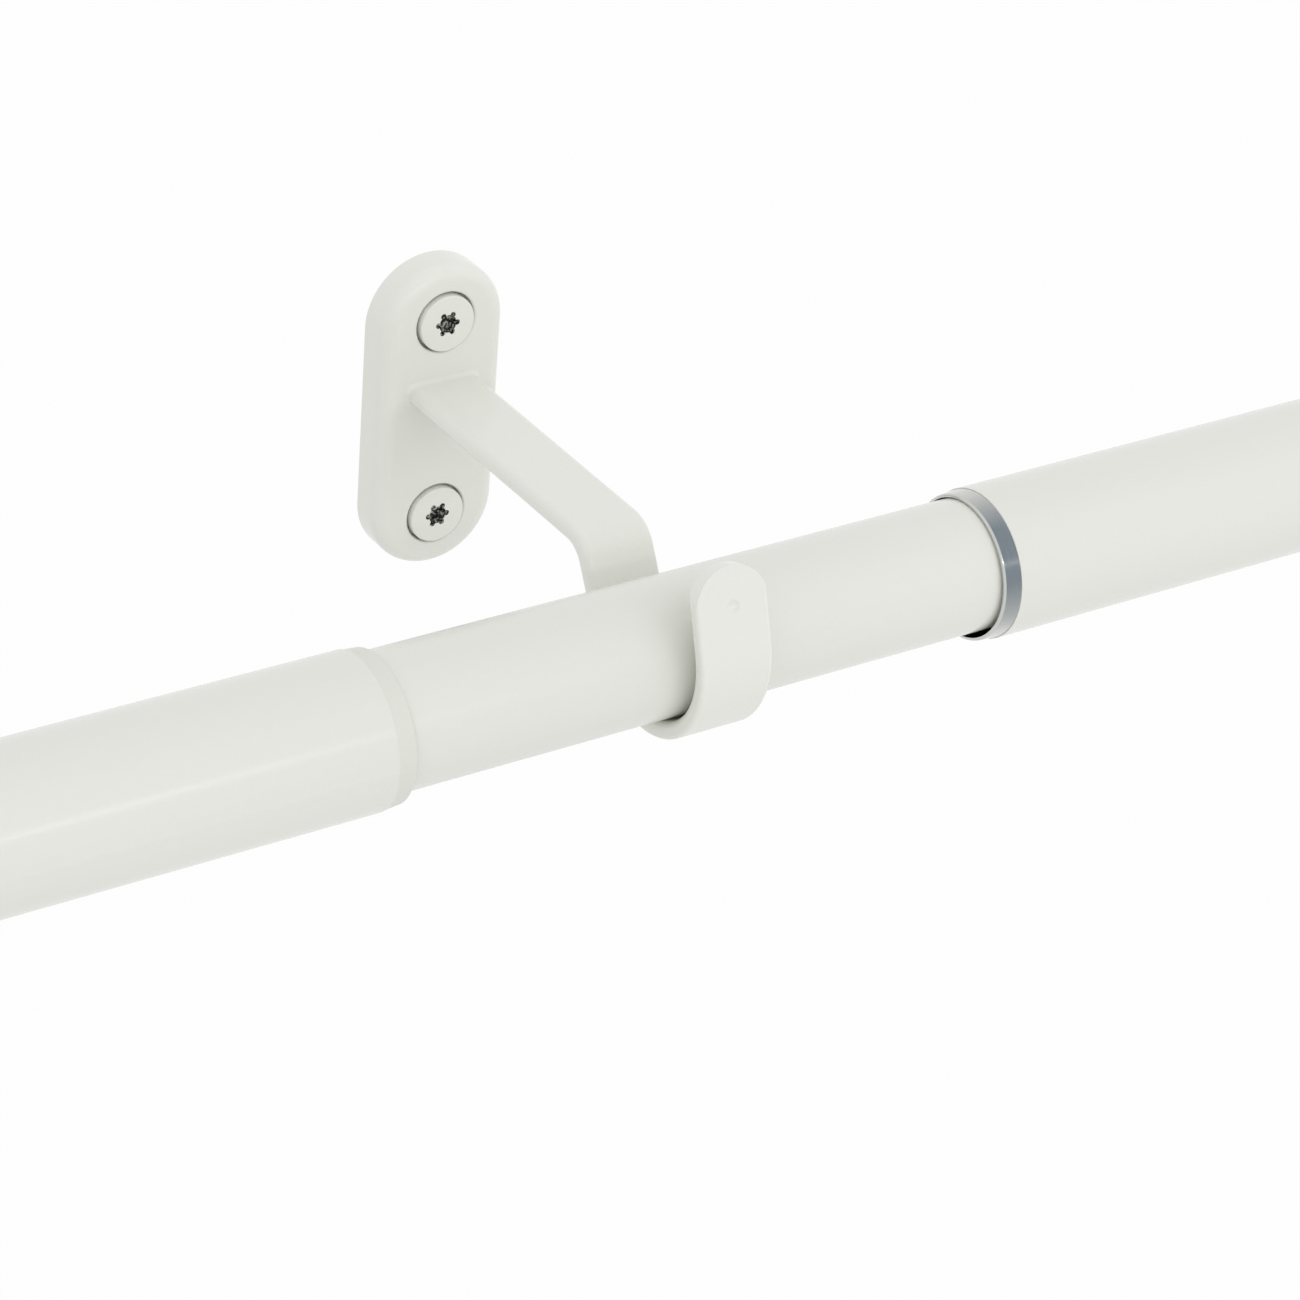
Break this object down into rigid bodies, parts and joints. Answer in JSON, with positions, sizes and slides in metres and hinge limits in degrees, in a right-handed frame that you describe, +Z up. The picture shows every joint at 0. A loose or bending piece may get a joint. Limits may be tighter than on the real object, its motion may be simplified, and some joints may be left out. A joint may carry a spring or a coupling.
{
  "type": "extendable curtain rod",
  "caption": "White telescopic curtain rod: a thin middle tube with a wider tube sliding over each end, carried in the hooks of cast wall brackets.",
  "frame": {"origin": "middle of the back face of the centre bracket's plate, in the plane of the wall", "axes": "+X along the rod to the right as seen from the room, +Y into the wall, +Z up; the rod lies 80 mm in front of the wall, at negative Y"},
  "size_m": [1.2882, 0.1078, 0.058],
  "materials": {
    "white_enamel": "smooth semi-gloss white powder coat",
    "painted_screw": "white painted head, zinc shank",
    "bright_zinc": "bright plated, polished",
    "white_plastic": "moulded, satin"
  },
  "bodies": {
    "root": {"centre_bracket": "white_enamel", "left_bracket": "white_enamel", "right_bracket": "white_enamel", "left_upper_screw": "painted_screw", "left_lower_screw": "painted_screw", "centre_upper_screw": "painted_screw", "centre_lower_screw": "painted_screw", "right_upper_screw": "painted_screw", "right_lower_screw": "painted_screw", "middle_tube": "white_enamel", "left_glide": "white_plastic", "right_glide": "white_plastic"},
    "left_outer_tube": {"left_tube": "white_enamel", "left_end_ring": "white_enamel", "left_end_cap": "white_plastic"},
    "right_outer_tube": {"right_tube": "white_enamel", "right_end_ring": "bright_zinc", "right_end_cap": "white_plastic"}
  },
  "joints": [
    {"name": "left_tube_slide", "type": "slide", "parent": "root", "child": "left_outer_tube", "axis": [-1, 0, 0], "range_m": [-0.044, 0.405]},
    {"name": "right_tube_slide", "type": "slide", "parent": "root", "child": "right_outer_tube", "axis": [1, 0, 0], "range_m": [-0.044, 0.405]}
  ]
}
